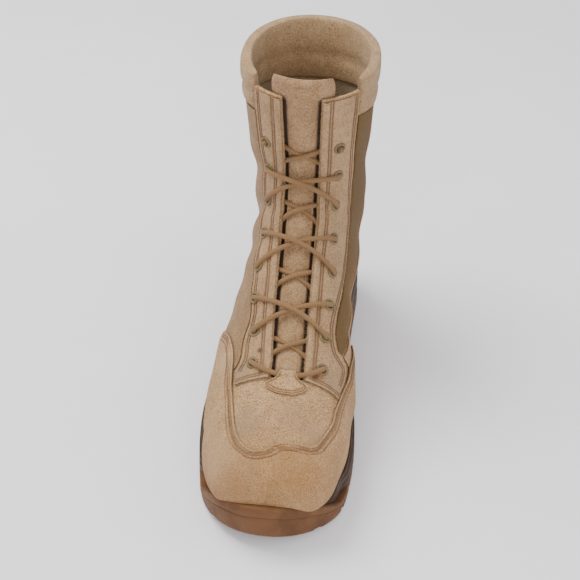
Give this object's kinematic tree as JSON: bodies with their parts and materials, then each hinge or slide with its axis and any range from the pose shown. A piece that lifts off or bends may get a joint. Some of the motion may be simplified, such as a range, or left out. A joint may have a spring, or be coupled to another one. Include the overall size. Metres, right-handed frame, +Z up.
{
  "type": "combat boot",
  "caption": "Laced ankle-high combat boot for the right foot with hollow suede upper, toe guard, padded collar, tongue and lugged rubber sole.",
  "frame": {"origin": "on the floor, in the middle of the boot's whole box", "axes": "+Z up, +Y from toe to heel along the boot, +X towards the wearer's inner side"},
  "size_m": [0.115, 0.308, 0.2578],
  "materials": {
    "suede": "napped suede",
    "facing": "worn suede",
    "tongue": "fine suede",
    "collar": "soft suede over foam",
    "webbing": "ribbed woven webbing",
    "midsole": "matte moulded foam rubber",
    "outsole": "matte gum rubber",
    "insole": "woven lining",
    "eyelet": "satin paint",
    "lace": "round braid"
  },
  "bodies": {
    "root": {"outsole": "outsole", "midsole": "midsole", "insole": "insole", "upper": "suede", "tongue": "tongue", "toe_guard": "suede", "facing_medial": "facing", "facing_lateral": "facing", "throat_tab": "suede", "quarter_medial": "suede", "quarter_lateral": "suede", "side_vent": "webbing", "back_stay": "suede", "collar": "collar", "eyelet_medial_1": "eyelet", "eyelet_medial_2": "eyelet", "eyelet_medial_3": "eyelet", "eyelet_medial_4": "eyelet", "eyelet_medial_5": "eyelet", "eyelet_medial_6": "eyelet", "eyelet_medial_7": "eyelet", "eyelet_medial_8": "eyelet", "eyelet_lateral_1": "eyelet", "eyelet_lateral_2": "eyelet", "eyelet_lateral_3": "eyelet", "eyelet_lateral_4": "eyelet", "eyelet_lateral_5": "eyelet", "eyelet_lateral_6": "eyelet", "eyelet_lateral_7": "eyelet", "eyelet_lateral_8": "eyelet", "lace_bar": "lace", "lace_cross_1": "lace", "lace_cross_2": "lace", "lace_cross_3": "lace", "lace_cross_4": "lace", "lace_cross_5": "lace", "lace_cross_6": "lace", "lace_cross_7": "lace"}
  },
  "joints": []
}
